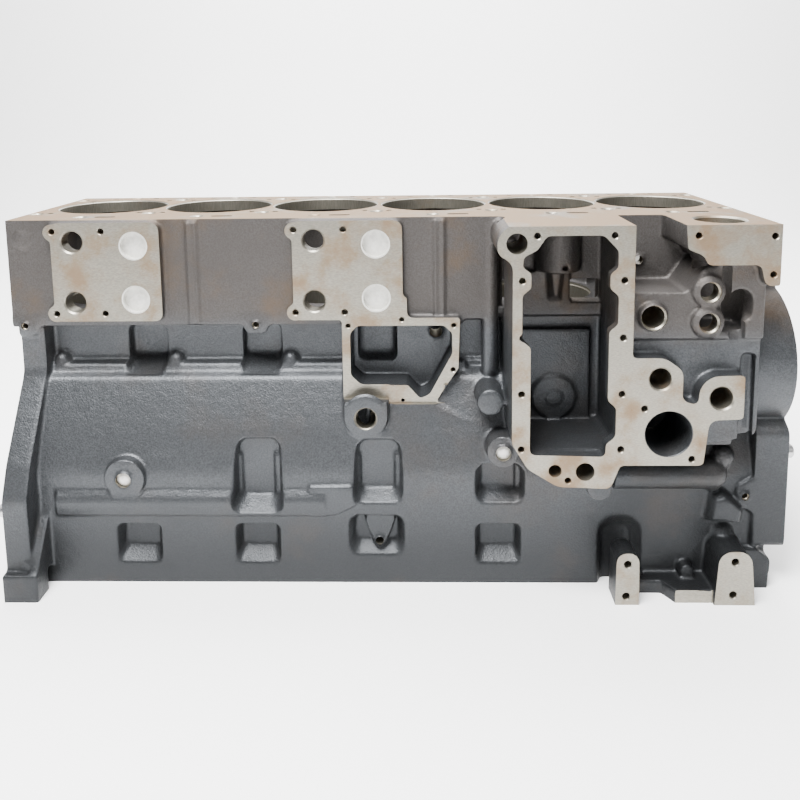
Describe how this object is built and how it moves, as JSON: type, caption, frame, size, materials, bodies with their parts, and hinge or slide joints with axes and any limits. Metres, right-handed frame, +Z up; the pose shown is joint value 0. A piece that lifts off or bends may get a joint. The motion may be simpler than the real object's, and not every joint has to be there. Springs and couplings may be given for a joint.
{
  "type": "engine block",
  "caption": "Bare in-line engine block in cast iron with wet-liner bores, bearing caps in place and a flanged oil cooler housing on one side.",
  "frame": {"origin": "on the crankshaft axis, in the plane of the centre main bearing", "axes": "+X along the crankshaft towards the front (gear) end, +Z up along the cylinders, -Y out of the side with the oil cooler housing"},
  "size_m": [0.889, 0.394, 0.418],
  "materials": {
    "cast_iron": "sand cast with machined faces",
    "cap_iron": "cast with machined sides",
    "bolt_steel": "black oxide",
    "dowel_steel": "ground",
    "bush_bronze": "bored",
    "plug_steel": "zinc plated, dull"
  },
  "bodies": {
    "root": {"block_casting": "cast_iron", "main_cap_1": "cap_iron", "main_cap_2": "cap_iron", "main_cap_3": "cap_iron", "main_cap_4": "cap_iron", "main_cap_5": "cap_iron", "main_cap_6": "cap_iron", "main_cap_7": "cap_iron", "cam_bush_1": "bush_bronze", "cam_bush_2": "bush_bronze", "cam_bush_3": "bush_bronze", "cam_bush_4": "bush_bronze", "cam_bush_5": "bush_bronze", "cam_bush_6": "bush_bronze", "cam_bush_7": "bush_bronze", "main_cap_bolts": "bolt_steel", "main_cap_sleeves": "dowel_steel", "side_plug_rear_upper": "plug_steel", "side_plug_rear_lower": "plug_steel", "side_plug_centre_upper": "plug_steel", "side_plug_centre_lower": "plug_steel", "skirt_plug_rear": "plug_steel", "skirt_plug_front": "plug_steel", "core_plug_1": "plug_steel", "core_plug_2": "plug_steel", "core_plug_3": "plug_steel", "core_plug_4": "plug_steel", "core_plug_5": "plug_steel", "core_plug_6": "plug_steel", "cam_rear_plug": "plug_steel", "gallery_plug_rear": "plug_steel", "gallery_plug_front": "plug_steel", "rear_face_dowels": "dowel_steel", "front_face_dowels": "dowel_steel"}
  },
  "joints": []
}
